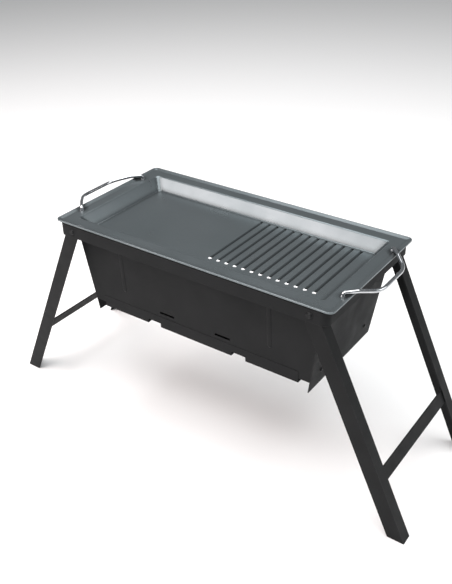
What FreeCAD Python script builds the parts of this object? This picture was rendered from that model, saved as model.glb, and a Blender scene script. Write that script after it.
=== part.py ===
"""Hibachi grill with folding leg frames: a parametric FreeCAD document, in millimetres.

+X runs along the long side, +Y to the back and +Z up. The origin is on the ground under the middle
of the tray. Heights are measured down from the tray's rim, because everything hangs from it.
"""
import FreeCAD, Part
import math
import os
import re
import Sketcher
from FreeCAD import Placement, Rotation, Vector

SIZES = [
    # the griddle tray
    ("rim_height", 412, "top of the tray's rim above the ground"),
    ("tray_length", 600, "outside the rim, along X"),
    ("tray_width", 300, "outside the rim, along Y"),
    ("tray_corner", 11, "radius of the rim's corners"),
    ("rim_rise", 2.2, "how far the flange's margin turns up"),
    ("rim_run", 7, "width of the turned-up margin"),
    ("rim_edge", 2, "flat top of the rim"),
    ("flange_width", 31, "rim to the dish's mouth"),
    ("flange_thick", 3, "cast wall of the flange"),
    ("dish_depth", 23.6, "flange top to floor top"),
    ("dish_run", 17, "how far each wall leans inward"),
    ("dish_wall", 3, "wall thickness of the dish"),
    ("dish_corner", 10, "radius between two walls"),
    ("floor_thick", 4, "griddle floor"),
    ("groove_count", 13, "grease grooves"),
    ("groove_pitch", 17.9, "between grooves"),
    ("groove_first", 10.3, "X of the first groove"),
    ("groove_width", 6.4, "at the floor"),
    ("groove_deep", 2.2, "V depth"),
    ("groove_front", -71.5, "Y of the front ends"),
    ("groove_back", 97, "Y of the back ends"),
    ("drain_row", -74, "Y of the drain holes"),
    ("drain_radius", 1.6, "drain hole"),
    ("drain_sink", 3.3, "radius of the drain hole's countersink"),
    # the handles
    ("handle_radius", 3.4, "chromed rod"),
    ("handle_foot_x", 286.4, "where the rod enters the flange"),
    ("handle_foot_y", 91, "half the distance between the feet"),
    ("handle_rim_x", 304, "bend just outside the rim"),
    ("handle_rim_y", 73, "the same bend from the middle"),
    ("handle_rim_bend", 30, "radius of the same bend"),
    ("handle_grip_x", 330.5, "centre of the grip"),
    ("handle_grip_y", 43, "half the grip's length between its bends"),
    ("handle_grip_drop", 2, "grip's centre below the rim"),
    ("handle_lift", 3.9, "rod's centre above the rim where it crosses over"),
    ("handle_bend", 42, "radius of the grip's bends"),
    ("foot_bend", 4.5, "radius of the bend down to each foot"),
    ("collar_radius", 4.5, "collar round each foot"),
    ("collar_high", 1.8, "collar above the flange"),
    # the firebox
    ("sheet_thick", 1.5, "folded steel sheet"),
    ("hole_fit", 0.05, "holes over the radius of what sits in them"),
    ("rest_gap", 0.3, "tray flange above the rim rails"),
    ("box_half_x", 273.6, "end plates at the top, outside"),
    ("box_half_y", 123.2, "front and rear panels at the top, outside"),
    ("box_low_x", 244.2, "end plates at their lower edge"),
    ("box_low_y", 113.6, "front and rear panels at the same depth"),
    ("plate_low", 203, "end plates' lower edge, below the rim"),
    ("panel_low", 188, "front and rear panels' lower edge, below the rim"),
    ("tab_deep", 42, "folded tabs behind the end plates"),
    ("foot_flange", 12, "inward fold under the panels, carries the ash pan"),
    ("notch_high", 9, "notches in the panels' lower edge"),
    ("notch_wide", 31, "length of a notch"),
    ("notch_place", 98, "X of the notches"),
    ("corner_notch", 224, "X from which the panels' lower corners are cut away"),
    ("vent_wide", 34, "air slot"),
    ("vent_high", 5, "air slot"),
    ("vent_place", 64, "X of the air slots"),
    ("vent_low", 153, "air slots below the rim"),
    ("lip_half_x", 292, "outside of the end lips"),
    ("lip_half_y", 149, "outside of the front and rear lips"),
    ("lip_low", 30, "lower edge of the lips, below the rim"),
    ("lip_corner", 14, "radius of the lip's corners"),
    ("seam_y", 112, "where the end rails meet the front and rear rails"),
    ("screw_radius", 2, "panel screw"),
    ("screw_head", 4, "radius of the head"),
    ("screw_y", 81, "panel screws from the middle"),
    ("screw_low", 170, "panel screws below the rim"),
    ("screw_long", 7, "shank of a panel screw"),
    # inside the firebox
    ("ledge_low", 120, "charcoal grate's ledges below the rim"),
    ("ledge_wide", 14, "ledge"),
    ("ledge_half", 232, "half length of a ledge"),
    ("grate_half_x", 238, "half length of the charcoal grate"),
    ("grate_half_y", 108, "half width of the charcoal grate"),
    ("grate_rod", 2.5, "radius of the grate's rods"),
    ("grate_bars", 23, "bars across the grate"),
    ("pan_half_x", 236, "half length of the ash pan"),
    ("pan_half_y", 106, "half width of the ash pan"),
    ("pan_high", 8, "ash pan's rim"),
    # the leg frames
    ("leg_lean", 25.2, "degrees from upright"),
    ("leg_width", 28.4, "face of the angle"),
    ("leg_deep", 23, "outer side of the angle"),
    ("leg_thick", 2.5, "wall of the angle"),
    ("leg_half_y", 147, "outside of the leg faces"),
    ("pivot_x", 259, "pivot bolts from the middle"),
    ("pivot_low", 18, "pivot bolts below the rim"),
    ("ear_radius", 9.3, "leg's rounded top round the pivot"),
    ("pivot_radius", 4, "pivot bolt"),
    ("pivot_fit", 0.05, "running clearance on the radius"),
    ("pivot_head", 6.2, "radius of the bolt's head"),
    ("head_high", 3, "bolt head"),
    ("nut_radius", 7.5, "nut, over its corners"),
    ("nut_high", 5, "nut"),
    ("bolt_long", 14, "shank of a pivot bolt"),
    ("washer_radius", 8, "washer"),
    ("washer_thick", 1.2, "washer"),
    ("brace_along", 302, "brace's upper edge, along the leg from the pivot"),
    ("brace_high", 25, "cross brace"),
    ("brace_thick", 3, "cross brace"),
    ("gusset_side", 22, "gusset above and along the brace"),
]

doc = FreeCAD.newDocument("hibachi_grill")
sheet = doc.addObject("Spreadsheet::Sheet", "Sizes")
for row, (alias, value, meaning) in enumerate(SIZES, start=1):
    sheet.set(f"A{row}", alias)
    sheet.set(f"B{row}", str(value))
    sheet.setAlias(f"B{row}", alias)
    sheet.set(f"C{row}", meaning)
doc.recompute()

ALIASES = {entry[0] for entry in SIZES}
SIDES = {"left": -1, "right": 1}
ENDS = {"front": -1, "rear": 1}
sub_parts = {}


def size(alias):
    """A driving dimension as a number."""
    return float(sheet.get(alias))


def bind(text):
    """An expression on the sheet, from plain words: each alias gets the sheet's name."""
    return re.sub(r"[a-z_]+", lambda word: f"Sizes.{word[0]}" if word[0] in ALIASES else word[0], text)


def value_of(text):
    """What an expression on the sheet comes to."""
    result = sheet.evalExpression(bind(text))
    return float(getattr(result, "Value", result))


def set_size(obj, prop, text):
    """Bind a property to the sheet."""
    obj.setExpression(prop, bind(text))


def keep(obj, label):
    """Take an object as a finished sub-part."""
    obj.Label = label
    sub_parts[label] = obj
    return obj


# --- sketches and features ------------------------------------------------------------------------

def new_body(name):
    """An empty PartDesign body."""
    return doc.addObject("PartDesign::Body", name)


def new_sketch(body, role, offset="0"):
    """A sketch on one of the body's own planes, moved along the plane's normal.

    The normals are +Z for XY_Plane, -Y for XZ_Plane and +X for YZ_Plane.
    """
    sketch = body.newObject("Sketcher::SketchObject", f"{body.Name}_sketch")
    plane = next(item for item in body.Origin.OriginFeatures if item.Role == role)
    sketch.AttachmentSupport = (plane, [""])
    sketch.MapMode = "FlatFace"
    set_size(sketch, "AttachmentOffset.Base.z", offset)
    return sketch


def pin_point(sketch, edge, end, place):
    """Tie one end of an edge to a place given by two expressions."""
    for kind, text in zip(("DistanceX", "DistanceY"), place):
        index = sketch.addConstraint(Sketcher.Constraint(kind, -1, 1, edge, end, value_of(text)))
        set_size(sketch, f"Constraints[{index}]", text)


def outline(sketch, places):
    """A closed polygon, each corner tied to the sheet."""
    spots = [Vector(value_of(x), value_of(y), 0) for x, y in places]
    count = len(spots)
    edges = [sketch.addGeometry(Part.LineSegment(spots[i], spots[(i + 1) % count])) for i in range(count)]
    for i, edge in enumerate(edges):
        sketch.addConstraint(Sketcher.Constraint("Coincident", edge, 2, edges[(i + 1) % count], 1))
    for edge, place in zip(edges, places):
        pin_point(sketch, edge, 1, place)


def rectangle(sketch, half_x, half_y):
    """A rectangle about the origin, from its two half sides."""
    outline(sketch, [(f"{sx} * ({half_x})", f"{sy} * ({half_y})")
                     for sx, sy in ((-1, -1), (1, -1), (1, 1), (-1, 1))])


def rounded_outline(sketch, half_x, half_y, corner):
    """A rectangle about the origin whose corners turn in three short steps."""
    places = []
    for sx, sy, angles in ((1, 1, (0, 30, 60, 90)), (-1, 1, (90, 60, 30, 0)),
                           (-1, -1, (0, 30, 60, 90)), (1, -1, (90, 60, 30, 0))):
        for angle in angles:
            places.append((f"{sx} * ({half_x} - {corner} + {corner} * cos({angle}))",
                           f"{sy} * ({half_y} - {corner} + {corner} * sin({angle}))"))
    outline(sketch, places)


def circle(sketch, x, y, radius):
    """A circle tied to the sheet."""
    shape = Part.Circle(Vector(value_of(x), value_of(y), 0), Vector(0, 0, 1), value_of(radius))
    edge = sketch.addGeometry(shape)
    pin_point(sketch, edge, 3, (x, y))
    index = sketch.addConstraint(Sketcher.Constraint("Radius", edge, value_of(radius)))
    set_size(sketch, f"Constraints[{index}]", radius)


def pad(body, sketch, length, taper="0", down=False):
    """Add the sketch's outline as a solid; down goes against the sketch's normal."""
    feature = body.newObject("PartDesign::Pad", f"{body.Name}_pad")
    feature.Profile = sketch
    feature.Reversed = down
    set_size(feature, "Length", length)
    set_size(feature, "TaperAngle", taper)
    doc.recompute()
    return feature


def pocket(body, sketch, length, taper="0", up=False):
    """Cut the sketch's outline away; it cuts against the normal unless up is set."""
    before = body.Shape.Volume
    feature = body.newObject("PartDesign::Pocket", f"{body.Name}_pocket")
    feature.Profile = sketch
    feature.Reversed = up
    set_size(feature, "Length", length)
    set_size(feature, "TaperAngle", taper)
    doc.recompute()
    if body.Shape.Volume > before - 1e-3:
        raise RuntimeError(f"{feature.Name} cuts nothing")
    return feature


def fillet(body, radius, wanted):
    """Round the edges for which wanted(edge) holds."""
    base = body.Tip
    names = [f"Edge{i}" for i, edge in enumerate(base.Shape.Edges, start=1) if wanted(edge)]
    if not names:
        raise RuntimeError(f"{body.Name} has no edge to round")
    feature = body.newObject("PartDesign::Fillet", f"{body.Name}_fillet")
    feature.Base = (base, names)
    set_size(feature, "Radius", radius)
    doc.recompute()
    return feature


def chamfer(body, first, second, wanted):
    """Cut the edges for which wanted(edge) holds, by a distance on each of the two faces."""
    base = body.Tip
    names = [f"Edge{i}" for i, edge in enumerate(base.Shape.Edges, start=1) if wanted(edge)]
    if not names:
        raise RuntimeError(f"{body.Name} has no edge to cut")
    feature = body.newObject("PartDesign::Chamfer", f"{body.Name}_chamfer")
    feature.Base = (base, names)
    feature.ChamferType = "Two distances"
    set_size(feature, "Size", first)
    set_size(feature, "Size2", second)
    doc.recompute()
    return feature


def repeat(body, features, sketch, length, count):
    """Repeat features along the sketch's own horizontal axis."""
    pattern = body.newObject("PartDesign::LinearPattern", f"{body.Name}_pattern")
    pattern.Originals = features
    pattern.Direction = (sketch, ["H_Axis"])
    set_size(pattern, "Length", length)
    set_size(pattern, "Occurrences", count)
    body.Tip = pattern
    doc.recompute()
    return pattern


def level(edge, height):
    """Whether a whole edge lies at one height."""
    box = edge.BoundBox
    return abs(box.ZMin - height) < 1e-3 and abs(box.ZMax - height) < 1e-3


# --- plain solids -----------------------------------------------------------------------------------

def place(obj, base, rotation=None):
    """Put a solid where it belongs."""
    obj.Placement = Placement(base, rotation or Rotation())
    return obj


def block(name, low, high):
    """A box between two corners given as expressions."""
    obj = doc.addObject("Part::Box", name)
    for prop, start, end in zip(("Length", "Width", "Height"), low, high):
        set_size(obj, prop, f"({end}) - ({start})")
    return place(obj, Vector(*(value_of(text) for text in low)))


def round_bar(name, radius, length, base, direction):
    """A cylinder from a point along a direction."""
    obj = doc.addObject("Part::Cylinder", name)
    set_size(obj, "Radius", radius)
    set_size(obj, "Height", length)
    return place(obj, base, Rotation(Vector(0, 0, 1), direction))


def cut(name, base, tool):
    """One solid less another."""
    obj = doc.addObject("Part::Cut", name)
    obj.Base = base
    obj.Tool = tool
    return obj


def common(name, *shapes):
    """What several solids share."""
    obj = doc.addObject("Part::MultiCommon", name)
    obj.Shapes = list(shapes)
    return obj


def fuse(name, shapes):
    """Several solids made one."""
    obj = doc.addObject("Part::MultiFuse", name)
    obj.Shapes = list(shapes)
    return obj


def group(label, shapes):
    """Identical pieces that share one node, each still a solid of its own."""
    obj = doc.addObject("Part::Compound", label)
    obj.Links = list(shapes)
    return keep(obj, label)


# --- the griddle tray -----------------------------------------------------------------------------

DISH_TAPER = "atan(dish_run / dish_depth)"
FLANGE_TOP = "rim_height - rim_rise"
FLOOR_TOP = "rim_height - rim_rise - dish_depth"
MOUTH_X = "tray_length / 2 - flange_width"
MOUTH_Y = "tray_width / 2 - flange_width"


def make_tray():
    """The cast griddle: a flange with an upturned margin, a dish with leaning walls, grooves and drains."""
    body = new_body("griddle_tray")
    plate = new_sketch(body, "XY_Plane", f"{FLANGE_TOP} - flange_thick")
    rectangle(plate, "tray_length / 2", "tray_width / 2")
    pad(body, plate, "flange_thick + rim_rise")
    fillet(body, "tray_corner", lambda edge: edge.BoundBox.ZLength > 1)
    under = value_of(f"{FLANGE_TOP} - flange_thick")
    chamfer(body, "rim_rise", "rim_run", lambda edge: level(edge, under))

    margin = new_sketch(body, "XY_Plane", "rim_height")
    rounded_outline(margin, "tray_length / 2 - rim_edge", "tray_width / 2 - rim_edge",
                    "(tray_corner - rim_edge)")
    pocket(body, margin, "rim_rise", "-1 * atan(rim_run / rim_rise)")
    fillet(body, "rim_edge * 0.45", lambda edge: level(edge, size("rim_height")))

    wall = f"dish_wall / cos({DISH_TAPER}) - flange_thick * dish_run / dish_depth"
    hull = new_sketch(body, "XY_Plane", f"{FLANGE_TOP} - flange_thick")
    rectangle(hull, f"{MOUTH_X} + {wall}", f"{MOUTH_Y} + {wall}")
    pad(body, hull, "dish_depth + floor_thick - flange_thick", f"-1 * {DISH_TAPER}", down=True)
    floor_under = value_of(f"{FLOOR_TOP} - floor_thick")
    fillet(body, "dish_corner + dish_wall", lambda edge: edge.BoundBox.ZLength > 20)
    fillet(body, "5", lambda edge: level(edge, floor_under))

    dish = new_sketch(body, "XY_Plane", FLANGE_TOP)
    rectangle(dish, MOUTH_X, MOUTH_Y)
    pocket(body, dish, "dish_depth", f"-1 * {DISH_TAPER}")
    floor, flange = value_of(FLOOR_TOP), value_of(FLANGE_TOP)
    fillet(body, "dish_corner", lambda edge: abs(edge.BoundBox.ZMin - floor) < 1e-3
           and abs(edge.BoundBox.ZMax - flange) < 1e-3)
    fillet(body, "4", lambda edge: level(edge, floor))
    mouth = value_of(MOUTH_X)
    fillet(body, "5", lambda edge: level(edge, flange) and edge.BoundBox.XMax < mouth + 1
           and edge.BoundBox.XMin > -mouth - 1)

    groove = new_sketch(body, "XZ_Plane", "-1 * groove_back")
    left, right = "groove_first - groove_width / 2", "groove_first + groove_width / 2"
    outline(groove, [(left, f"{FLOOR_TOP} + 1"), (left, FLOOR_TOP),
                     ("groove_first", f"{FLOOR_TOP} - groove_deep"),
                     (right, FLOOR_TOP), (right, f"{FLOOR_TOP} + 1")])
    groove_cut = pocket(body, groove, "groove_back - groove_front", up=True)
    sink = new_sketch(body, "XY_Plane", FLOOR_TOP)
    circle(sink, "groove_first", "drain_row", "drain_sink")
    sink_cut = pocket(body, sink, "drain_sink - drain_radius", "-45")
    drain = new_sketch(body, "XY_Plane", FLOOR_TOP)
    circle(drain, "groove_first", "drain_row", "drain_radius")
    drain_cut = pocket(body, drain, "floor_thick + 1")
    repeat(body, [groove_cut, sink_cut, drain_cut], sink, "groove_pitch * (groove_count - 1)", "groove_count")

    for sx in SIDES.values():
        for sy in ENDS.values():
            foot = new_sketch(body, "XY_Plane", FLANGE_TOP)
            circle(foot, f"{sx} * handle_foot_x", f"{sy} * handle_foot_y", "handle_radius + hole_fit")
            pocket(body, foot, "flange_thick")
    return keep(body, "griddle_tray")


# --- the handles --------------------------------------------------------------------------------------

def bent_rod(corners, bends, radius):
    """A round rod along straight runs joined by tangent arcs, as one solid.

    corners are the points where the runs would meet; bends are the arcs' radii at the inner ones.
    """
    edges = []
    start = corners[0]
    for before, corner, after, bend in zip(corners, corners[1:], corners[2:], bends):
        back = (before - corner).normalize()
        onward = (after - corner).normalize()
        half = back.getAngle(onward) / 2
        reach = bend / math.tan(half)
        middle = (back + onward).normalize()
        centre = corner + middle * (bend / math.sin(half))
        first, last = corner + back * reach, corner + onward * reach
        edges.append(Part.LineSegment(start, first).toShape())
        edges.append(Part.Arc(first, centre - middle * bend, last).toShape())
        start = last
    edges.append(Part.LineSegment(start, corners[-1]).toShape())
    path = Part.Wire(edges)
    section = Part.Wire(Part.Circle(corners[0], (corners[1] - corners[0]).normalize(), radius).toShape())
    return path.makePipeShell([section], True, False)


def make_handle(side):
    """A chromed rod bent to a loop, its two feet turned down into the flange."""
    rim = size("rim_height")
    foot_x, foot_y = size("handle_foot_x"), size("handle_foot_y")
    under = value_of(f"{FLANGE_TOP} - flange_thick")
    crossing = rim + size("handle_lift")
    half = [
        Vector(foot_x, foot_y, under),
        Vector(foot_x, foot_y, crossing),
        Vector(size("handle_rim_x"), size("handle_rim_y"), crossing),
        Vector(size("handle_grip_x"), size("handle_grip_y"), rim - size("handle_grip_drop")),
    ]
    front = [Vector(SIDES[side] * p.x, -p.y, p.z) for p in half]
    rear = [Vector(SIDES[side] * p.x, p.y, p.z) for p in reversed(half)]
    bends = [size("foot_bend"), size("handle_rim_bend"), size("handle_bend")]
    handle = doc.addObject("Part::Feature", f"{side}_handle")
    handle.Shape = bent_rod(front + rear, bends + bends[::-1], size("handle_radius"))
    keep(place(handle, Vector()), f"{side}_handle")

    collars = []
    for end, sy in ENDS.items():
        base = Vector(SIDES[side] * foot_x, sy * foot_y, value_of(FLANGE_TOP))
        ring = doc.addObject("Part::Cone", f"{side}_{end}_collar_body")
        set_size(ring, "Radius1", "collar_radius")
        set_size(ring, "Radius2", "collar_radius - 0.6")
        set_size(ring, "Height", "collar_high")
        place(ring, base)
        hole = round_bar(f"{side}_{end}_collar_hole", "handle_radius + hole_fit", "collar_high", base,
                         Vector(0, 0, 1))
        collars.append(cut(f"{side}_{end}_collar", ring, hole))
    group(f"{side}_handle_collars", collars)


# --- the firebox ----------------------------------------------------------------------------------------

RAIL_TOP = "rim_height - rim_rise - flange_thick - rest_gap"
RAIL_UNDER = "rim_height - rim_rise - flange_thick - rest_gap - sheet_thick"
PLATE_FOOT = "rim_height - plate_low"
PANEL_FOOT = "rim_height - panel_low"


def tapered_block(name, inset_x, inset_y):
    """The firebox's outline as a solid, each pair of walls moved inward."""
    obj = doc.addObject("Part::Wedge", name)
    set_size(obj, "Ymin", PLATE_FOOT)
    set_size(obj, "Ymax", RAIL_UNDER)
    for prop, half in (("X2", f"box_half_x - {inset_x}"), ("Z2", f"box_half_y - {inset_y}")):
        set_size(obj, f"{prop}min", f"-1 * ({half})")
        set_size(obj, f"{prop}max", half)
    for prop, half in (("X", f"box_low_x - {inset_x}"), ("Z", f"box_low_y - {inset_y}")):
        set_size(obj, f"{prop}min", f"-1 * ({half})")
        set_size(obj, f"{prop}max", half)
    return place(obj, Vector(), Rotation(Vector(1, 0, 0), 90))


def mirrored(sign, low, high):
    """A span given by two expressions, taken to the other side of the middle for a negative sign."""
    return (low, high) if sign > 0 else (f"-1 * ({high})", f"-1 * ({low})")


def make_end_plates():
    """The two end walls, which reach lower than the panels."""
    for side, sx in SIDES.items():
        outer = tapered_block(f"{side}_plate_outer", "0", "0")
        inner = tapered_block(f"{side}_plate_inner", "sheet_thick", "-20")
        low, high = mirrored(sx, "0", "box_half_x + 1")
        half = block(f"{side}_plate_half", [low, "-1 * box_half_y", "0"], [high, "box_half_y", "rim_height"])
        wall = common(f"{side}_plate_wall", cut(f"{side}_plate_pair", outer, inner), half)
        bars = [screw_bar(side, end, "hole", "screw_radius + hole_fit") for end in ENDS]
        holes = fuse(f"{side}_plate_holes", bars)
        keep(cut(f"{side}_end_plate", wall, holes), f"{side}_end_plate")


def screw_bar(side, end, name, radius):
    """A bar along X at one panel screw's place, long enough to cross plate and tab."""
    base = Vector(SIDES[side] * value_of("box_low_x - 12"), ENDS[end] * size("screw_y"),
                  value_of("rim_height - screw_low"))
    return round_bar(f"{side}_{end}_screw_{name}", radius, "30", base, Vector(SIDES[side], 0, 0))


def panel_openings(end):
    """Air slots, and the notches that relieve the fold along the panel's foot."""
    openings = []
    for side, sx in SIDES.items():
        for kind, x, wide, z, high in (
            ("slot", "vent_place", "vent_wide", "rim_height - vent_low", "vent_high"),
            ("notch", "notch_place", "notch_wide", PANEL_FOOT, "2 * notch_high"),
            ("corner", "(corner_notch + notch_wide / 2)", "notch_wide", PANEL_FOOT, "2 * notch_high"),
        ):
            low = [f"{sx} * {x} - {wide} / 2", "-1 * box_half_y", f"{z} - {high} / 2"]
            top = [f"{sx} * {x} + {wide} / 2", "box_half_y", f"{z} + {high} / 2"]
            openings.append(block(f"{end}_{side}_{kind}", low, top))
    return openings


def make_panels():
    """Front and rear sheets, folded round the corners behind the end plates and inward at the foot."""
    for end, sy in ENDS.items():
        outer = tapered_block(f"{end}_panel_outer", "sheet_thick", "0")
        inner = tapered_block(f"{end}_panel_inner", "2 * sheet_thick", "sheet_thick")
        tube = cut(f"{end}_panel_tube", outer, inner)
        low, high = mirrored(sy, "box_low_y - tab_deep", "box_half_y + 1")
        half = block(f"{end}_panel_half", ["-1 * box_half_x", low, PANEL_FOOT],
                     ["box_half_x", high, "rim_height"])
        wall = common(f"{end}_panel_wall", tube, half)
        low, high = mirrored(sy, "box_low_y - foot_flange", "box_low_y - 0.2")
        fold = block(f"{end}_panel_fold", ["-1 * pan_half_x", low, PANEL_FOOT],
                     ["pan_half_x", high, f"{PANEL_FOOT} + sheet_thick"])
        folded = fuse(f"{end}_panel_folded", [wall, fold])
        openings = panel_openings(end)
        openings += [screw_bar(side, end, f"{end}_tab", "screw_radius + hole_fit") for side in SIDES]
        keep(cut(f"{end}_panel", folded, fuse(f"{end}_panel_openings", openings)), f"{end}_panel")


def make_screws():
    """Panel screws: a shank through plate and tab, with a domed head on the plate."""
    wall_x = value_of(f"box_half_x - (box_half_x - box_low_x) * ({RAIL_UNDER} - (rim_height - screw_low))"
                      f" / ({RAIL_UNDER} - ({PLATE_FOOT}))")
    screws = []
    for side, sx in SIDES.items():
        for end, sy in ENDS.items():
            at = Vector(sx * (wall_x + 0.6), sy * size("screw_y"), value_of("rim_height - screw_low"))
            head = doc.addObject("Part::Cone", f"{side}_{end}_screw_head")
            set_size(head, "Radius1", "screw_head")
            set_size(head, "Radius2", "screw_head - 1.5")
            set_size(head, "Height", "screw_radius")
            place(head, at, Rotation(Vector(0, 0, 1), Vector(sx, 0, 0)))
            shank = round_bar(f"{side}_{end}_screw_shank", "screw_radius", "screw_long", at,
                              Vector(-sx, 0, 0))
            screws.append(fuse(f"{side}_{end}_screw", [head, shank]))
    group("panel_screws", screws)


def rounded_block(name, half_x, half_y, corner, low, high):
    """A block about the Z axis with rounded upright corners."""
    body = new_body(name)
    base = new_sketch(body, "XY_Plane", low)
    rectangle(base, half_x, half_y)
    pad(body, base, f"({high}) - ({low})")
    fillet(body, corner, lambda edge: edge.BoundBox.ZLength > 0.5)
    return body


def rim_ring():
    """The rim frame before it is parted: a flat ledge with a lip turned down round its outside."""
    lip_foot = "rim_height - lip_low"
    outside = rounded_block("rim_outside", "lip_half_x", "lip_half_y", "lip_corner", lip_foot, RAIL_TOP)
    fillet(outside, "sheet_thick", lambda edge: level(edge, value_of(RAIL_TOP)))
    hollow = rounded_block("rim_hollow", "lip_half_x - sheet_thick", "lip_half_y - sheet_thick",
                           "lip_corner - sheet_thick", f"{lip_foot} - 1", RAIL_UNDER)
    mouth = block("rim_mouth", ["sheet_thick - box_half_x", "sheet_thick - box_half_y", lip_foot],
                  ["box_half_x - sheet_thick", "box_half_y - sheet_thick", "rim_height"])
    return cut("rim_ring", cut("rim_shell", outside, hollow), mouth)


def make_rim_rails():
    """The rim frame as four rails: the long ones turn the corners, the short ones fit between."""
    bars = [pivot_bar(side, end) for side in SIDES for end in ENDS]
    ring = cut("rim_ring_drilled", rim_ring(), fuse("rail_holes", bars))
    for end, sy in ENDS.items():
        low, high = mirrored(sy, "seam_y", "lip_half_y + 1")
        zone = block(f"{end}_rail_zone", ["-1 * (lip_half_x + 1)", low, "0"],
                     ["lip_half_x + 1", high, "rim_height"])
        keep(common(f"{end}_rim_rail", ring, zone), f"{end}_rim_rail")
    for side, sx in SIDES.items():
        low, high = mirrored(sx, "0", "lip_half_x + 1")
        zone = block(f"{side}_rail_zone", [low, "-1 * (seam_y - 0.1)", "0"],
                     [high, "seam_y - 0.1", "rim_height"])
        keep(common(f"{side}_rim_rail", ring, zone), f"{side}_rim_rail")


def make_ledges():
    """Two steel angles along the panels, which carry the charcoal grate."""
    wall = "box_half_y - (box_half_y - box_low_y) * ledge_low / plate_low - sheet_thick"
    shelf_top = "rim_height - ledge_low"
    for end, sy in ENDS.items():
        low, high = mirrored(sy, f"{wall} - ledge_wide", f"{wall} - 0.6")
        shelf = block(f"{end}_ledge_shelf", ["-1 * ledge_half", low, f"{shelf_top} - sheet_thick"],
                      ["ledge_half", high, shelf_top])
        low, high = mirrored(sy, f"{wall} - 0.6 - sheet_thick", f"{wall} - 0.6")
        web = block(f"{end}_ledge_web", ["-1 * ledge_half", low, f"{shelf_top} - ledge_wide"],
                    ["ledge_half", high, shelf_top])
        keep(fuse(f"{end}_grate_ledge", [shelf, web]), f"{end}_grate_ledge")


def make_grate():
    """The charcoal grate: wire bars across, welded under two runners."""
    bar_z = value_of("rim_height - ledge_low + grate_rod + rest_gap")
    half_x, half_y = size("grate_half_x"), size("grate_half_y")
    count = int(size("grate_bars"))
    spacing = 2 * (half_x - size("grate_rod")) / (count - 1)
    rods = [round_bar(f"grate_bar_{i}", "grate_rod", "2 * grate_half_y",
                      Vector(size("grate_rod") - half_x + i * spacing, -half_y, bar_z), Vector(0, 1, 0))
            for i in range(count)]
    rods += [round_bar(f"grate_runner_{end}", "grate_rod", "2 * grate_half_x",
                       Vector(-half_x, sy * half_y * 0.55, bar_z + 1.5 * size("grate_rod")), Vector(1, 0, 0))
             for end, sy in ENDS.items()]
    keep(fuse("charcoal_grate", rods), "charcoal_grate")


def make_ash_pan():
    """A shallow sheet pan on the panels' folds."""
    pan = new_body("ash_pan")
    outside = new_sketch(pan, "XY_Plane", f"{PANEL_FOOT} + sheet_thick")
    rectangle(outside, "pan_half_x", "pan_half_y")
    pad(pan, outside, "pan_high")
    inside = new_sketch(pan, "XY_Plane", f"{PANEL_FOOT} + sheet_thick + pan_high")
    rectangle(inside, "pan_half_x - sheet_thick", "pan_half_y - sheet_thick")
    pocket(pan, inside, "pan_high - sheet_thick")
    keep(pan, "ash_pan")


# --- the leg frames -------------------------------------------------------------------------------------

LEG_TOP = f"({RAIL_UNDER} - rest_gap)"
PIVOT_Z = "(rim_height - pivot_low)"
BRACE_END = "leg_half_y - leg_thick"


def across(inward):
    """A line along the leg, from its distance inward of the outer edge to its distance from the pivot."""
    return f"(leg_width / 2 - ({inward}))"


def leg_point(sx, along, inward):
    """A point on a leg: along it from the pivot, and inward from its outer edge."""
    x = f"{sx} * (pivot_x + ({along}) * sin(leg_lean) + {across(inward)} * cos(leg_lean))"
    z = f"{PIVOT_Z} - ({along}) * cos(leg_lean) + {across(inward)} * sin(leg_lean)"
    return x, z


def level_point(sx, inward, height):
    """Where the line at this distance inward of the leg's outer edge crosses a height."""
    drop = f"({PIVOT_Z} + {across(inward)} * sin(leg_lean) - ({height}))"
    return f"{sx} * (pivot_x + {across(inward)} * cos(leg_lean) + {drop} * tan(leg_lean))", height


def pivot_bar(side, end):
    """A bar along Y through the rail's lip at one pivot, as large as the bolt's hole."""
    base = Vector(SIDES[side] * size("pivot_x"), ENDS[end] * value_of("leg_half_y - leg_deep"),
                  value_of(PIVOT_Z))
    return round_bar(f"{side}_{end}_rail_hole", "pivot_radius + pivot_fit",
                     "leg_deep + lip_half_y - leg_half_y + 1", base, Vector(0, ENDS[end], 0))


def make_leg(side, end):
    """A length of steel angle: face to the front or rear, its other side on the outside of the frame.

    Its top is square under the rim rail, where it stops the frame, and rounded inward of the pivot.
    """
    sx, sy = SIDES[side], ENDS[end]
    body = new_body(f"{side}_{end}_leg")
    outside = "leg_half_y" if sy < 0 else "-1 * leg_half_y"
    inside = "leg_half_y - leg_deep" if sy < 0 else "leg_deep - leg_half_y"
    face = new_sketch(body, "XZ_Plane", outside)
    outline(face, [
        level_point(sx, "0", LEG_TOP),
        (f"{sx} * pivot_x", LEG_TOP),
        (f"{sx} * (pivot_x - ear_radius * 0.7)", f"{PIVOT_Z} + ear_radius * 0.7"),
        (f"{sx} * (pivot_x - ear_radius)", PIVOT_Z),
        leg_point(sx, "12", "leg_width"),
        level_point(sx, "leg_width", "0"),
        level_point(sx, "0", "0"),
    ])
    pad(body, face, "leg_deep", down=sy < 0)
    hollow = new_sketch(body, "XZ_Plane", inside)
    outline(hollow, [
        level_point(sx, "leg_thick", f"{LEG_TOP} + 5"),
        (f"{sx} * (pivot_x - leg_width)", f"{LEG_TOP} + 5"),
        (f"{sx} * (pivot_x - leg_width)", PIVOT_Z),
        leg_point(sx, "12", "leg_width + 5"),
        level_point(sx, "leg_width + 5", "-5"),
        level_point(sx, "leg_thick", "-5"),
    ])
    pocket(body, hollow, "leg_deep - leg_thick", up=sy < 0)
    hole = new_sketch(body, "XZ_Plane", outside)
    circle(hole, f"{sx} * pivot_x", PIVOT_Z, "pivot_radius + pivot_fit")
    pocket(body, hole, "leg_thick", up=sy > 0)
    return keep(body, f"{side}_{end}_leg")


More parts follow.
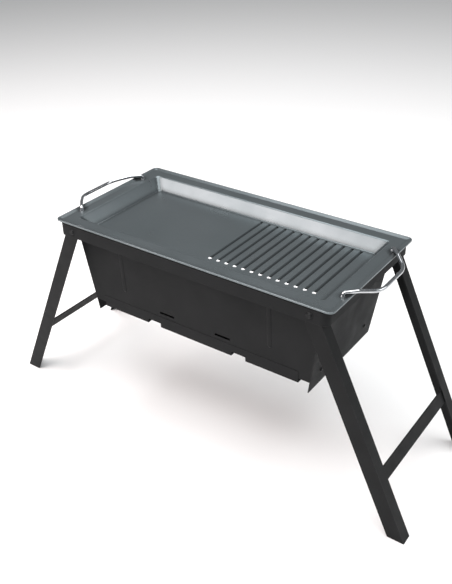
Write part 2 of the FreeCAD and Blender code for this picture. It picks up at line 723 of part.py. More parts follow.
def make_brace(side):
    """A flat bar between the two legs of a frame, with a gusset in each of its upper corners."""
    sx = SIDES[side]
    body = new_body(f"{side}_cross_brace")
    bar = new_sketch(body, "XZ_Plane", f"-1 * ({BRACE_END})")
    outline(bar, brace_section(sx, "brace_along", "brace_along + brace_high"))
    pad(body, bar, f"2 * ({BRACE_END})")
    keep(body, f"{side}_cross_brace")
    group(f"{side}_brace_gussets", [make_gusset(side, end) for end in ENDS])


def brace_section(sx, start, end):
    """The brace's outline seen along Y, between two distances from the pivot."""
    near, far = "leg_thick", "leg_thick + brace_thick"
    return [leg_point(sx, along, inward)
            for along, inward in ((start, near), (start, far), (end, far), (end, near))]


def make_gusset(side, end):
    """A plate against leg and brace, its free corner cut off along the diagonal."""
    sx, sy = SIDES[side], ENDS[end]
    free = "leg_half_y - leg_thick - gusset_side"
    plate = new_body(f"{side}_{end}_gusset")
    strip = new_sketch(plate, "XZ_Plane", free if sy < 0 else f"-1 * ({BRACE_END})")
    outline(strip, brace_section(sx, "brace_along - gusset_side", "brace_along"))
    pad(plate, strip, "gusset_side")
    top = plate.Shape.BoundBox.ZMax - size("brace_thick")
    chamfer(plate, "gusset_side - 3", "gusset_side - 3",
            lambda edge: edge.BoundBox.ZMin > top and abs(sy * edge.CenterOfMass.y - value_of(free)) < 0.1)
    return plate


def make_pivots(side):
    """Pivot bolts through lip and leg, each with a washer and a nut inside the leg's angle."""
    bolts, washers, nuts = [], [], []
    for end, sy in ENDS.items():
        outward = Vector(0, sy, 0)
        at = Vector(SIDES[side] * size("pivot_x"), sy * size("lip_half_y"), value_of(PIVOT_Z))
        inside = at - outward * (size("lip_half_y") - size("leg_half_y") + size("leg_thick") + 0.1)
        head = doc.addObject("Part::Cone", f"{side}_{end}_bolt_head")
        set_size(head, "Radius1", "pivot_head")
        set_size(head, "Radius2", "pivot_head - 2")
        set_size(head, "Height", "head_high")
        place(head, at, Rotation(Vector(0, 0, 1), outward))
        shank = round_bar(f"{side}_{end}_bolt_shank", "pivot_radius", "bolt_long", at, outward * -1)
        bolts.append(fuse(f"{side}_{end}_bolt", [head, shank]))

        disc = round_bar(f"{side}_{end}_washer_disc", "washer_radius", "washer_thick", inside, outward * -1)
        hole = round_bar(f"{side}_{end}_washer_hole", "pivot_radius + hole_fit", "washer_thick", inside,
                         outward * -1)
        washers.append(cut(f"{side}_{end}_washer", disc, hole))

        seat = inside - outward * size("washer_thick")
        prism = doc.addObject("Part::Prism", f"{side}_{end}_nut_prism")
        prism.Polygon = 6
        set_size(prism, "Circumradius", "nut_radius")
        set_size(prism, "Height", "nut_high")
        place(prism, seat, Rotation(Vector(0, 0, 1), outward * -1))
        bore = round_bar(f"{side}_{end}_nut_bore", "pivot_radius + hole_fit", "nut_high", seat, outward * -1)
        nuts.append(cut(f"{side}_{end}_nut", prism, bore))
    group(f"{side}_pivot_bolts", bolts)
    group(f"{side}_pivot_washers", washers)
    group(f"{side}_pivot_nuts", nuts)


make_tray()
for side_name in SIDES:
    make_handle(side_name)
make_end_plates()
make_panels()
make_screws()
make_rim_rails()
make_ledges()
make_grate()
make_ash_pan()
for side_name in SIDES:
    for end_name in ENDS:
        make_leg(side_name, end_name)
    make_brace(side_name)
    make_pivots(side_name)
doc.recompute()

for obj in doc.Objects:
    if "Invalid" in obj.State or "Error" in obj.State:
        raise RuntimeError(f"{obj.Label} failed to build")
os.makedirs("parts", exist_ok=True)
for label, obj in sub_parts.items():
    if obj.Shape.isNull() or not obj.Shape.isValid() or not obj.Shape.Solids:
        raise RuntimeError(f"{label} has no sound solid")
    obj.Shape.exportStep(f"parts/{label}.step")
    box = obj.Shape.BoundBox
    print(f"{label}: {len(obj.Shape.Solids)} solid(s), {obj.Shape.Volume:.0f} mm3,"
          f" x {box.XMin:.1f}..{box.XMax:.1f} y {box.YMin:.1f}..{box.YMax:.1f}"
          f" z {box.ZMin:.1f}..{box.ZMax:.1f}")
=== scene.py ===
"""Hibachi grill with folding leg frames: finishes, small pressed and welded detail, and a plain studio.

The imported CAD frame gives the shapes, in metres: +X along the long side, +Y to the back, +Z up, the
origin on the ground under the middle of the tray. Everything here is placed from the frame's own boxes.
"""

import logging
import math
from collections.abc import Iterable, Sequence
from dataclasses import dataclass
from enum import Enum

import bmesh
import bpy
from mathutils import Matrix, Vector

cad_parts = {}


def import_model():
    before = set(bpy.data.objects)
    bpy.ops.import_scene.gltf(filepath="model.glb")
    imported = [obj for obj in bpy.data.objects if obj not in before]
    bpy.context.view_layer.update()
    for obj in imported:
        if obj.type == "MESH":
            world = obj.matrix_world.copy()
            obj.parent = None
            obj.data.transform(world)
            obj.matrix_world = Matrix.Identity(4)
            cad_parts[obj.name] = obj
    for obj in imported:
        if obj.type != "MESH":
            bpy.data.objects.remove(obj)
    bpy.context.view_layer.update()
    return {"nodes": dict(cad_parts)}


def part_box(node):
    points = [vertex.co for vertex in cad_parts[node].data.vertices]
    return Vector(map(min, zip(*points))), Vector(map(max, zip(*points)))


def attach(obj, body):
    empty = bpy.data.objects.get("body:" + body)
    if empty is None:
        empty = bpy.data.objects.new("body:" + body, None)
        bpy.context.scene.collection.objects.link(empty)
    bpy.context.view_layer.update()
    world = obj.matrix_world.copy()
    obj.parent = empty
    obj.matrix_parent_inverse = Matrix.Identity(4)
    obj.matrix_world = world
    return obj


MM = 0.001
# Length over which worn edges, which partly carry a painted edge highlight, come and go.
WEAR_AND_HIGHLIGHT_ACROSS = 9 * MM
# How far the pressed and folded detail reaches into the sheet it sits on, so that no gap shows.
SEAT = 0.2 * MM
log = logging.getLogger("hibachi")


class Side(Enum):
    """The two ends of the long axis, where the handles and the leg frames are."""

    LEFT = -1
    RIGHT = 1


class End(Enum):
    """The two long faces of the grill."""

    FRONT = -1
    REAR = 1


def linear(colour: str) -> tuple[float, float, float, float]:
    """Turn an sRGB hex colour into linear light.

    Args:
        colour: six hex digits.

    Returns:
        Red, green, blue and full alpha.
    """
    parts = [int(colour[i : i + 2], 16) / 255 for i in (0, 2, 4)]
    light = [c / 12.92 if c <= 0.04045 else ((c + 0.055) / 1.055) ** 2.4 for c in parts]
    return light[0], light[1], light[2], 1.0


# --- node trees ---------------------------------------------------------------------------------------


class Graph:
    """A node tree that is filled one node at a time."""

    def __init__(self, tree: bpy.types.NodeTree) -> None:
        """Start from an empty tree."""
        self.tree = tree
        self.tree.nodes.clear()

    def add(self, kind: str, inputs: dict | None = None, **settings: object) -> bpy.types.Node:
        """Add one node.

        Args:
            kind: the node's type name.
            inputs: input name or index to a socket to link, or to a plain value.
            settings: the node's own properties.

        Returns:
            The new node.
        """
        node = self.tree.nodes.new(kind)
        for name, value in settings.items():
            setattr(node, name, value)
        for key, value in (inputs or {}).items():
            if isinstance(value, bpy.types.NodeSocket):
                self.tree.links.new(value, node.inputs[key])
            else:
                node.inputs[key].default_value = value
        return node

    def math(self, operation: str, *values: bpy.types.NodeSocket | float) -> bpy.types.NodeSocket:
        """One arithmetic step on numbers or sockets."""
        return self.add("ShaderNodeMath", dict(enumerate(values)), operation=operation).outputs[0]

    def blend(self, factor: bpy.types.NodeSocket, first: bpy.types.NodeSocket | tuple,
              second: bpy.types.NodeSocket | tuple) -> bpy.types.NodeSocket:
        """A colour between two others."""
        return self.add("ShaderNodeMix", {0: factor, 6: first, 7: second}, data_type="RGBA").outputs[2]

    def spread(self, value: bpy.types.NodeSocket, low: float, high: float, start: float,
               end: float) -> bpy.types.NodeSocket:
        """Map low..high onto start..end, held at both ends."""
        inputs = {"Value": value, "From Min": low, "From Max": high, "To Min": start, "To Max": end}
        return self.add("ShaderNodeMapRange", inputs).outputs[0]

    def noise(self, place: bpy.types.NodeSocket, across: float, detail: float = 3.0) -> bpy.types.NodeSocket:
        """Noise whose patches are about this many metres across."""
        inputs = {"Vector": place, "Scale": 1 / across, "Detail": detail}
        return self.add("ShaderNodeTexNoise", inputs).outputs["Fac"]


# --- finishes -----------------------------------------------------------------------------------------


@dataclass(frozen=True)
class Finish:
    """A real finish: its tone with slow variation, worn edges that partly carry a painted edge highlight,
    and a fine grain.

    Attributes:
        name: the real material and finish.
        tone: main colour.
        patch: colour the slow variation drifts to.
        patch_across: size of that variation, in metres.
        edge: colour of worn edges, partly a painted edge highlight.
        edge_width: width of the wear and painted edge highlight, in metres.
        edge_share: how far worn and painted-highlight edges go towards their colour.
        metallic: share of bare metal reflection.
        roughness: smoothest and roughest value.
        specular: strength of the coating's own reflection, 0.5 for a clear dielectric.
        grain_across: size of the surface grain, in metres.
        grain_high: height of that grain, in metres.
    """

    name: str
    tone: str
    patch: str
    edge: str
    patch_across: float = 0.07
    edge_width: float = 0.8 * MM
    edge_share: float = 0.5
    metallic: float = 0.0
    roughness: tuple[float, float] = (0.4, 0.5)
    specular: float = 0.5
    grain_across: float = 0.6 * MM
    grain_high: float = 0.03 * MM

    def build(self) -> bpy.types.Material:
        """Make the material's nodes.

        Returns:
            A material with this finish.
        """
        material = bpy.data.materials.new(self.name)
        material.use_nodes = True
        graph = Graph(material.node_tree)
        place = graph.add("ShaderNodeTexCoord").outputs["Object"]
        patches = graph.spread(graph.noise(place, self.patch_across, 4.0), 0.35, 0.65, 0.0, 1.0)
        grain = graph.noise(place, self.grain_across)
        colour = graph.blend(patches, linear(self.tone), linear(self.patch))
        # Edges go lighter: partly wear, partly a painted edge highlight.
        colour = graph.blend(self.wear_and_edge_highlight(graph, place), colour, linear(self.edge))
        rough = graph.spread(graph.noise(place, self.patch_across / 2), 0.3, 0.7, *self.roughness)
        bump = graph.add("ShaderNodeBump", {"Height": grain, "Distance": self.grain_high, "Strength": 1.0})
        shader = graph.add(
            "ShaderNodeBsdfPrincipled",
            {
                "Base Color": colour,
                "Roughness": rough,
                "Metallic": self.metallic,
                "Specular IOR Level": self.specular,
                "Normal": bump.outputs[0],
            },
        )
        self.decorate(graph, shader, place)
        graph.add("ShaderNodeOutputMaterial", {"Surface": shader.outputs[0]})
        return material

    def wear_and_edge_highlight(self, graph: Graph, place: bpy.types.NodeSocket) -> bpy.types.NodeSocket:
        """Find the worn edges, which also carry a painted edge highlight: where a rounded normal parts from
        the face's own, broken up by noise.

        Args:
            graph: the material's tree.
            place: the point's own coordinates.

        Returns:
            A mask of wear and painted edge highlight, 0 where nothing is worn or highlit.
        """
        rounded = graph.add("ShaderNodeBevel", {"Radius": self.edge_width}, samples=6)
        face = graph.add("ShaderNodeNewGeometry")
        inputs = {0: rounded.outputs[0], 1: face.outputs["Normal"]}
        agree = graph.add("ShaderNodeVectorMath", inputs, operation="DOT_PRODUCT").outputs["Value"]
        turned = graph.spread(agree, 0.995, 0.9, 0.0, self.edge_share)
        broken = graph.spread(graph.noise(place, WEAR_AND_HIGHLIGHT_ACROSS), 0.3, 0.6, 0.35, 1.0)
        return graph.math("MULTIPLY", turned, broken)

    def decorate(self, graph: Graph, shader: bpy.types.Node, place: bpy.types.NodeSocket) -> None:
        """Add what only some finishes have; a plain finish has nothing more."""


@dataclass(frozen=True)
class DrilledCoating(Finish):
    """The griddle's hard coating, cut through to bright aluminium at each countersunk drain.

    Attributes:
        bare: colour of the cut aluminium.
        bare_roughness: its roughness.
        bare_metallic: its share of metal reflection, low because a cutter's marks scatter the light.
        first: X of the first drain.
        pitch: between drains.
        count: number of drains.
        row: Y of the drains.
        cut_radius: the countersink's radius.
        cut_edge: width over which coating gives way to metal.
        crease_tone: colour of the painted shade in the creases.
        crease_reach: how far the painted shade spreads from a crease.
        crease_share: how much of the painted shade shows at the crease.
    """

    bare: str = "F4F5F6"
    bare_roughness: float = 0.35
    bare_metallic: float = 0.3
    first: float = 10.3 * MM
    pitch: float = 17.9 * MM
    count: int = 13
    row: float = -74 * MM
    cut_radius: float = 3.6 * MM
    cut_edge: float = 0.3 * MM
    # The crease settings paint shade into the creases and the walls' feet.
    crease_tone: str = "2A2D2E"
    crease_reach: float = 12 * MM
    crease_share: float = 0.85

    def decorate(self, graph: Graph, shader: bpy.types.Node, place: bpy.types.NodeSocket) -> None:
        """Darken the creases with painted shade from an occlusion pass, then show bare metal within the
        countersinks.

        Args:
            graph: the material's tree.
            shader: its surface.
            place: the point's own coordinates.
        """
        # Painted shade: the coating goes darker where an occlusion pass finds a crease or a wall's foot.
        reach = {"Distance": self.crease_reach}
        crease = graph.add("ShaderNodeAmbientOcclusion", reach, samples=8).outputs["AO"]
        crease_painted_shade = graph.spread(crease, 0.97, 0.82, 0.0, self.crease_share)
        coated = shader.inputs["Base Color"].links[0].from_socket
        shade_darkened_coating = graph.blend(crease_painted_shade, coated, linear(self.crease_tone))
        cut = self.countersinks(graph, place)
        graph.tree.links.new(graph.blend(cut, shade_darkened_coating, linear(self.bare)), shader.inputs["Base Color"])
        for name, bare in (("Roughness", self.bare_roughness), ("Metallic", self.bare_metallic)):
            socket = shader.inputs[name]
            coated = socket.links[0].from_socket if socket.is_linked else socket.default_value
            graph.tree.links.new(graph.add("ShaderNodeMix", {0: cut, 2: coated, 3: bare}).outputs[0], socket)

    def countersinks(self, graph: Graph, place: bpy.types.NodeSocket) -> bpy.types.NodeSocket:
        """Find the countersinks from the distance to the nearest drain.

        Args:
            graph: the material's tree.
            place: the point's own coordinates.

        Returns:
            A mask, 1 within a countersink.
        """
        spot = graph.add("ShaderNodeSeparateXYZ", {0: place})
        steps = graph.math("DIVIDE", graph.math("SUBTRACT", spot.outputs[0], self.first), self.pitch)
        whole = graph.math("MAXIMUM", graph.math("ROUND", steps), 0.0)
        whole = graph.math("MINIMUM", whole, self.count - 1.0)
        across = graph.math("MULTIPLY", graph.math("SUBTRACT", steps, whole), self.pitch)
        along = graph.math("SUBTRACT", spot.outputs[1], self.row)
        squares = graph.math("ADD", graph.math("POWER", graph.math("ABSOLUTE", across), 2.0),
                             graph.math("POWER", graph.math("ABSOLUTE", along), 2.0))
        distance = graph.math("SQRT", squares)
        return graph.spread(distance, self.cut_radius, self.cut_radius - self.cut_edge, 0.0, 1.0)


# Hard-anodised cast aluminium: slate grey with a soft metal sheen, so a wall flares where it mirrors a lamp;
# the rim's edge is rubbed a little lighter and partly carries a painted edge highlight; the creases carry
# painted shade.
ANODISED = DrilledCoating(
    name="hard_anodised_cast_aluminium", tone="6F7679", patch="687073", edge="989DA0",
    patch_across=0.11, metallic=0.75, roughness=(0.27, 0.34), edge_width=1.2 * MM, edge_share=0.15,
    grain_across=0.9 * MM, grain_high=0.006 * MM,
)
# Bright chrome on bent steel rod: mirror with faint cloudiness from handling.
CHROME = Finish(
    name="chromed_steel_rod", tone="C9CBCD", patch="B9BCC0", edge="DADBDC", metallic=1.0,
    roughness=(0.08, 0.2), patch_across=0.02, edge_share=0.2, grain_high=0.003 * MM,
)
# High-heat stove paint on folded sheet: near black, dry and slightly open-grained, rubbed along folds and
# lighter there partly as a painted edge highlight.
STOVE_PAINT = Finish(
    name="matt_black_stove_paint", tone="1C1D1E", patch="202122", edge="444546", specular=0.11,
    roughness=(0.55, 0.7), patch_across=0.09, edge_share=0.45, grain_across=0.7 * MM, grain_high=0.03 * MM,
)
# Powder-coated steel angle: black, a little glossier than the box, rubbed pale at the corners and partly
# lighter there as a painted edge highlight.
LEG_PAINT = Finish(
    name="black_powder_coated_angle", tone="151617", patch="1A1B1C", edge="3E3F40", specular=0.13,
    roughness=(0.45, 0.58), patch_across=0.05, edge_share=0.4, grain_across=1.2 * MM, grain_high=0.04 * MM,
)
# Black oxide on bolts and screws: dark and slightly oily, brighter on the edges where a driver has turned
# them and partly as a painted edge highlight.
BLACK_OXIDE = Finish(
    name="black_oxide_fasteners", tone="1B1C1D", patch="232425", edge="4C4D4F", metallic=0.35,
    roughness=(0.4, 0.55), patch_across=0.006, edge_share=0.6, specular=0.2, edge_width=0.5 * MM,
)
# Bright zinc plating: pale, bluish and slightly cloudy.
ZINC = Finish(
    name="zinc_plated_steel", tone="A3A7AB", patch="8D9297", edge="C6C8CA", metallic=0.9,
    roughness=(0.25, 0.42), patch_across=0.008, edge_share=0.5, edge_width=0.5 * MM,
)
# Drawn steel wire browned by the fire.
FIRED_WIRE = Finish(
    name="fire_browned_steel_wire", tone="5A544E", patch="3A3531", edge="80797A", metallic=0.7,
    roughness=(0.4, 0.65), patch_across=0.03, grain_across=0.8 * MM, grain_high=0.04 * MM,
)
# Plain rolled steel tray with ash grey bloom.
PAN_STEEL = Finish(
    name="rolled_steel_pan", tone="6A6B6B", patch="4E4C4A", edge="8E9092", metallic=0.6,
    roughness=(0.4, 0.6), patch_across=0.05, grain_across=0.8 * MM, grain_high=0.03 * MM,
)


class Paintbox:
    """Builds each finish once and puts it on objects."""

    def __init__(self) -> None:
        """Start with nothing built."""
        self.made: dict[str, bpy.types.Material] = {}

    def coat(self, finish: Finish, *objects: bpy.types.Object) -> None:
        """Put a finish on whole objects.

        Args:
            finish: the finish; built the first time it is asked for.
            objects: what to coat, each in this one material.
        """
        if finish.name not in self.made:
            self.made[finish.name] = finish.build()
        for obj in objects:
            obj.data.materials.clear()
            obj.data.materials.append(self.made[finish.name])


# --- small meshes -------------------------------------------------------------------------------------


def finished_mesh(name: str, mesh: bmesh.types.BMesh, body: str) -> bpy.types.Object:
    """Turn a bmesh into a piece that rides on a body.

    Args:
        name: the piece's name.
        mesh: its shape in the row frame; freed here.
        body: the CAD body it moves with.

    Returns:
        The new object.
    """
    bmesh.ops.remove_doubles(mesh, verts=mesh.verts, dist=1e-7)
    bmesh.ops.recalc_face_normals(mesh, faces=mesh.faces)
    data = bpy.data.meshes.new(name)
    mesh.to_mesh(data)
    mesh.free()
    obj = bpy.data.objects.new(name, data)
    bpy.context.scene.collection.objects.link(obj)
    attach(obj, body)
    return obj


def smooth(obj: bpy.types.Object) -> None:
    """Shade a rounded piece smoothly."""
    obj.data.polygons.foreach_set("use_smooth", [True] * len(obj.data.polygons))


def skin_rings(mesh: bmesh.types.BMesh, rings: Sequence[Sequence[Vector]]) -> None:
    """Join closed rings of points into a skin and cap both ends.

    Args:
        mesh: where to add it.
        rings: rings with the same number of points each, in order.
    """
    loops = [[mesh.verts.new(point) for point in ring] for ring in rings]
    count = len(loops[0])
    for here, there in zip(loops, loops[1:]):
        for i in range(count):
            j = (i + 1) % count
            mesh.faces.new((here[i], here[j], there[j], there[i]))
    mesh.faces.new(list(reversed(loops[0])))
    mesh.faces.new(loops[-1])


def bead(mesh: bmesh.types.BMesh, start: Vector, end: Vector, up: Vector, wide: float, high: float,
         ripple: float = 0.0, ripple_pitch: float = 2.2 * MM) -> None:
    """Add a low rounded ridge along a line, faired out at both ends.

    Args:
        mesh: where to add it.
        start: first point of the line, on the surface.
        end: last point.
        up: away from the surface.
        wide: full width.
        high: height at the middle.
        ripple: share by which the size rises and falls, as in a weld.
        ripple_pitch: length of one ripple.
    """
    run = end - start
    length = run.length
    along = run.normalized()
    across = along.cross(up).normalized()
    count = max(12, int(length / (ripple_pitch / 4 if ripple else length / 24)))
    rings = []
    points = 12
    for i in range(count + 1):
        t = i / count
        fair = min(1.0, min(t, 1 - t) * length / (wide / 2) + 0.05) ** 0.5
        swell = 1 + ripple * math.sin(2 * math.pi * t * length / ripple_pitch)
        centre = start + run * t
        ring = []
        for k in range(points):
            angle = math.pi * 2 * k / points
            lift = high * fair * swell * max(math.sin(angle), -0.35)
            ring.append(centre + across * (wide / 2 * fair * swell * math.cos(angle)) + up * lift)
        rings.append(ring)
    skin_rings(mesh, rings)


# --- the grill's own parts ----------------------------------------------------------------------------


@dataclass
class Griddle:
    """The cast tray with its two chromed handles, which lifts off as one.

    Attributes:
        nodes: the CAD nodes.
        paint: where finishes come from.
    """

    nodes: dict[str, bpy.types.Object]
    paint: Paintbox

    def dress(self) -> None:
        """Finish the tray and its handles."""
        self.paint.coat(ANODISED, self.nodes["griddle_tray"])
        for side in Side:
            name = side.name.lower()
            self.paint.coat(CHROME, self.nodes[f"{name}_handle"])
            self.paint.coat(CHROME, self.nodes[f"{name}_handle_collars"])
        log.info("griddle dressed")


@dataclass
class Firebox:
    """The folded sheet box under the tray.

    Attributes:
        nodes: the CAD nodes.
        paint: where finishes come from.
        swage_x: X of the pressed stiffening beads on the long panels.
        swage_wide: width of a bead.
        swage_high: how proud it stands.
        swage_span: from and to, below the tray's rim.
        hem_high: height of the doubled edge along the panels' feet.
        hem_thick: thickness of that fold.
        hem_edge: radius of its edges.
        notch_x: X of the notches' middles.
        notch_wide: length of a notch.
        notch_high: depth of a notch.
        corner_notch: X at which the panels' feet end.
        low_half_y: half the box's width at the end plates' lower edge.
    """

    nodes: dict[str, bpy.types.Object]
    paint: Paintbox
    swage_x: float = 166 * MM
    swage_wide: float = 9 * MM
    swage_high: float = 0.6 * MM
    swage_span: tuple[float, float] = (34 * MM, 136 * MM)
    hem_high: float = 25 * MM
    hem_thick: float = 0.7 * MM
    hem_edge: float = 0.4 * MM
    notch_x: float = 98 * MM
    notch_wide: float = 31 * MM
    notch_high: float = 9 * MM
    corner_notch: float = 224 * MM
    low_half_y: float = 113.6 * MM

    def wall_y(self, end: End, z: float) -> float:
        """Find a panel's outer face; the panel leans, so it is taken between its top and the plates' feet.

        Args:
            end: which panel.
            z: the height.

        Returns:
            The face's Y at that height.
        """
        low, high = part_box(f"{end.name.lower()}_panel")
        outer = high.y if end is End.REAR else -low.y
        top = high.z
        drop = (top - z) / (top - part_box("left_end_plate")[0].z)
        return end.value * (outer - (outer - self.low_half_y) * drop)

    def build(self) -> None:
        """Press the swages and fold the hems."""
        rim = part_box("griddle_tray")[1].z
        top, foot = (rim - below for below in self.swage_span)
        for end in End:
            name = end.name.lower()
            outward = Vector((0, end.value, 0))
            mesh = bmesh.new()
            for side in Side:
                x = side.value * self.swage_x
                start = Vector((x, self.wall_y(end, top), top))
                stop = Vector((x, self.wall_y(end, foot), foot))
                bead(mesh, start, stop, outward, self.swage_wide, self.swage_high)
            piece = finished_mesh(f"{name}_panel_swages", mesh, "firebox")
            self.paint.coat(STOVE_PAINT, piece)
            smooth(piece)
            self.fold_hem(end)
        log.info("firebox swages and hems built")

    def fold_hem(self, end: End) -> None:
        """Fold the doubled edge along a panel's foot, interrupted by the notches.

        Args:
            end: which panel.
        """
        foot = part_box(f"{end.name.lower()}_panel")[0].z
        near, far = self.notch_x - self.notch_wide / 2, self.notch_x + self.notch_wide / 2
        columns = (-self.corner_notch, -far, -near, near, far, self.corner_notch)
        rows = (foot, foot + self.notch_high, foot + self.hem_high)
        mesh = bmesh.new()
        grid = []
        for z in rows:
            y = self.wall_y(end, z) - end.value * SEAT
            grid.append([mesh.verts.new((x, y, z)) for x in columns])
        notches = (1, 3)
        for row in range(len(rows) - 1):
            low, high = grid[row], grid[row + 1]
            for k in range(len(columns) - 1):
                if row > 0 or k not in notches:
                    mesh.faces.new((low[k], low[k + 1], high[k + 1], high[k]))
        grown = bmesh.ops.extrude_face_region(mesh, geom=mesh.faces[:], use_keep_orig=True)["geom"]
        outer = [item for item in grown if isinstance(item, bmesh.types.BMVert)]
        bmesh.ops.translate(mesh, verts=outer, vec=(0, end.value * (self.hem_thick + SEAT), 0))
        piece = finished_mesh(f"{end.name.lower()}_panel_hem", mesh, "firebox")
        bevel = piece.modifiers.new("edge", "BEVEL")
        bevel.width = self.hem_edge
        bevel.segments = 2
        bevel.limit_method = "ANGLE"
        self.paint.coat(STOVE_PAINT, piece)

    def dress(self) -> None:
        """Paint the sheet parts, and finish what sits inside."""
        for end in End:
            name = end.name.lower()
            for part in ("panel", "rim_rail", "grate_ledge"):
                self.paint.coat(STOVE_PAINT, self.nodes[f"{name}_{part}"])
        for side in Side:
            name = side.name.lower()
            for part in ("end_plate", "rim_rail"):
                self.paint.coat(STOVE_PAINT, self.nodes[f"{name}_{part}"])
        self.paint.coat(BLACK_OXIDE, self.nodes["panel_screws"])
        self.paint.coat(PAN_STEEL, self.nodes["ash_pan"])
        self.paint.coat(FIRED_WIRE, self.nodes["charcoal_grate"])
        log.info("firebox dressed")


@dataclass
class LegFrame:
    """One folding frame: two steel angles and the brace welded between them.

    Attributes:
        side: which end of the grill.
        nodes: the CAD nodes.
        paint: where finishes come from.
        lean: degrees from upright.
        leg_width: face of the angle.
        leg_thick: wall of the angle.
        face_y: half the distance between the legs' outer faces.
        brace_along: the brace's upper edge, along the leg from the pivot.
        brace_high: depth of the brace.
        brace_thick: thickness of the brace.
        gusset: side of the gussets.
        weld_wide: width of a weld bead.
        weld_end: how far a bead stops short of a piece's end.
        weld_ripple: share by which a bead's size rises and falls.
    """

    side: Side
    nodes: dict[str, bpy.types.Object]
    paint: Paintbox
    lean: float = 25.2
    leg_width: float = 28.4 * MM
    leg_thick: float = 2.5 * MM
    face_y: float = 147 * MM
    brace_along: float = 302 * MM
    brace_high: float = 25 * MM
    brace_thick: float = 3 * MM
    gusset: float = 22 * MM
    weld_wide: float = 4.5 * MM
    weld_end: float = 1 * MM
    weld_ripple: float = 0.09

    def spot(self, along: float, inward: float, y: float) -> Vector:
        """Find a point on the frame.

        Args:
            along: distance down the leg from the pivot.
            inward: distance from the leg's outer edge.
            y: the point's Y.

        Returns:
            The point in the row frame.
        """
        low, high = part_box(f"{self.side.name.lower()}_pivot_bolts")
        pivot = (low + high) / 2
        tilt = math.radians(self.lean)
        over = self.leg_width / 2 - inward
        x = pivot.x + self.side.value * (along * math.sin(tilt) + over * math.cos(tilt))
        return Vector((x, y, pivot.z - along * math.cos(tilt) + over * math.sin(tilt)))

    def build(self) -> None:
        """Weld the brace and its gussets to the legs: a bead down each joint, and one along each gusset."""
        name = self.side.name.lower()
        inner = self.leg_thick + self.brace_thick
        tilt = math.radians(self.lean)
        inboard = Vector((-self.side.value * math.cos(tilt), 0, -math.sin(tilt)))
        wall = self.face_y - self.leg_thick
        mesh = bmesh.new()
        top = self.brace_along - self.gusset + 3 * MM
        foot = self.brace_along + self.brace_high - self.weld_end
        for end in End:
            y = end.value * wall
            near, far = end.value * (wall - self.weld_end), end.value * (wall - self.gusset + self.weld_end)
            toward = (inboard + Vector((0, -end.value, 0))).normalized()
            bead(mesh, self.spot(top, inner, y), self.spot(foot, inner, y),
                 toward, self.weld_wide, self.weld_wide * 0.4, self.weld_ripple)
            bead(mesh, self.spot(self.brace_along, inner, near), self.spot(self.brace_along, inner, far),
                 inboard, self.weld_wide * 0.8, self.weld_wide * 0.25, self.weld_ripple)
        piece = finished_mesh(f"{name}_frame_welds", mesh, f"{name}_legs")
        smooth(piece)
        self.paint.coat(LEG_PAINT, piece)
        log.info("%s leg frame welded", name)

    def dress(self) -> None:
        """Finish the legs, the brace and the pivots."""
        name = self.side.name.lower()
        for part in ("front_leg", "rear_leg", "cross_brace", "brace_gussets"):
            self.paint.coat(LEG_PAINT, self.nodes[f"{name}_{part}"])
        self.paint.coat(BLACK_OXIDE, self.nodes[f"{name}_pivot_bolts"])
        self.paint.coat(ZINC, self.nodes[f"{name}_pivot_washers"], self.nodes[f"{name}_pivot_nuts"])
        log.info("%s leg frame dressed", name)


# --- studio -------------------------------------------------------------------------------------------


@dataclass(frozen=True)
class Softbox:
    """A rectangular lamp aimed at the tray.

    Attributes:
        name: what it is for.
        toward: direction from the tray to the lamp.
        away: distance.
        size: width and height.
        power: in watts.
        tone: colour of the light.
    """

    name: str
    toward: tuple[float, float, float]
    away: float
    size: tuple[float, float]
    power: float
    tone: str = "FFFFFF"

    def hang(self, target: Vector) -> None:
        """Place the lamp and turn it to the target.

        Args:
            target: the point it lights.
        """
        lamp = bpy.data.lights.new(self.name, "AREA")
        lamp.shape = "RECTANGLE"
        lamp.size, lamp.size_y = self.size
        lamp.energy = self.power
        lamp.color = linear(self.tone)[:3]
        obj = bpy.data.objects.new(self.name, lamp)
        direction = Vector(self.toward).normalized()
        obj.location = target + direction * self.away
        obj.rotation_euler = direction.to_track_quat("Z", "Y").to_euler()
        bpy.context.scene.collection.objects.link(obj)


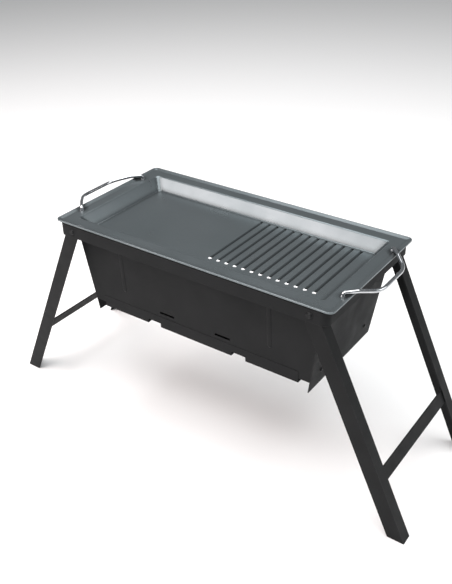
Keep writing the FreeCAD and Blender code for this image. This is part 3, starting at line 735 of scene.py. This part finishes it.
@dataclass
class Studio:
    """A pale floor, soft lamps and the camera.

    Attributes:
        floor_tone: colour of the floor.
        floor_half: half its width, wide enough to fill the view.
        world_tone: colour of the light from all round.
        world_strength: strength of that light.
        target: what the lamps are aimed at.
        eye: the camera's place.
        turn: its XYZ turn, in degrees.
        lens: its focal length, in millimetres.
        sensor: width of its sensor, in millimetres.
        lamps: the softboxes.
    """

    floor_tone: str = "F7F7F7"
    floor_half: float = 14.0
    world_tone: str = "C9CCCE"
    world_strength: float = 0.36
    target: tuple[float, float, float] = (0.0, 0.0, 0.38)
    eye: tuple[float, float, float] = (0.772314, -1.075197, 1.086783)
    turn: tuple[float, float, float] = (58.4229, 1.0343, 35.3910)
    lens: float = 49.41
    sensor: float = 36.0
    lamps: tuple[Softbox, ...] = (
        Softbox("wall_key", (-0.49, -0.65, 0.58), 2.4, (2.2, 1.3), 50, "FFF3F0"),
        Softbox("overhead", (0.1, -0.1, 1.0), 3.2, (3.5, 3.5), 150),
        Softbox("side_fill", (0.78, 0.45, 0.43), 2.4, (1.3, 1.0), 11),
        Softbox("rim_light", (-0.4, 0.28, 0.87), 2.6, (1.4, 0.9), 13),
    )

    def build(self) -> None:
        """Lay the floor, hang the lamps and set the world and the camera."""
        self.lay_floor()
        for lamp in self.lamps:
            lamp.hang(Vector(self.target))
        world = bpy.data.worlds.new("studio")
        world.use_nodes = True
        graph = Graph(world.node_tree)
        light = {"Color": linear(self.world_tone), "Strength": self.world_strength}
        sky = graph.add("ShaderNodeBackground", light)
        graph.add("ShaderNodeOutputWorld", {"Surface": sky.outputs[0]})
        bpy.context.scene.world = world
        bpy.context.scene.view_settings.view_transform = "Standard"
        self.place_camera()
        log.info("studio built")

    def lay_floor(self) -> None:
        """Lay a wide matt floor, part of the studio and not of the grill."""
        mesh = bmesh.new()
        bmesh.ops.create_grid(mesh, x_segments=1, y_segments=1, size=self.floor_half)
        data = bpy.data.meshes.new("studio_floor")
        mesh.to_mesh(data)
        mesh.free()
        floor = bpy.data.objects.new("studio_floor", data)
        bpy.context.scene.collection.objects.link(floor)
        material = bpy.data.materials.new("matt_paper_floor")
        material.use_nodes = True
        graph = Graph(material.node_tree)
        paper = {"Base Color": linear(self.floor_tone), "Roughness": 0.9, "Specular IOR Level": 0.1}
        shader = graph.add("ShaderNodeBsdfPrincipled", paper)
        graph.add("ShaderNodeOutputMaterial", {"Surface": shader.outputs[0]})
        data.materials.append(material)

    def place_camera(self) -> None:
        """Place the camera at the front right, a little above."""
        lens = bpy.data.cameras.new("camera")
        lens.lens = self.lens
        lens.sensor_width = self.sensor
        camera = bpy.data.objects.new("camera", lens)
        camera.location = self.eye
        camera.rotation_euler = [math.radians(angle) for angle in self.turn]
        bpy.context.scene.collection.objects.link(camera)
        bpy.context.scene.camera = camera


def main() -> None:
    """Build the grill and its studio."""
    logging.basicConfig(level=logging.INFO, format="%(message)s")
    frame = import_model()
    nodes, paint = frame["nodes"], Paintbox()
    griddle = Griddle(nodes, paint)
    griddle.dress()
    firebox = Firebox(nodes, paint)
    firebox.dress()
    firebox.build()
    for side in Side:
        legs = LegFrame(side, nodes, paint)
        legs.dress()
        legs.build()
    Studio().build()


if __name__ == "__main__":
    main()
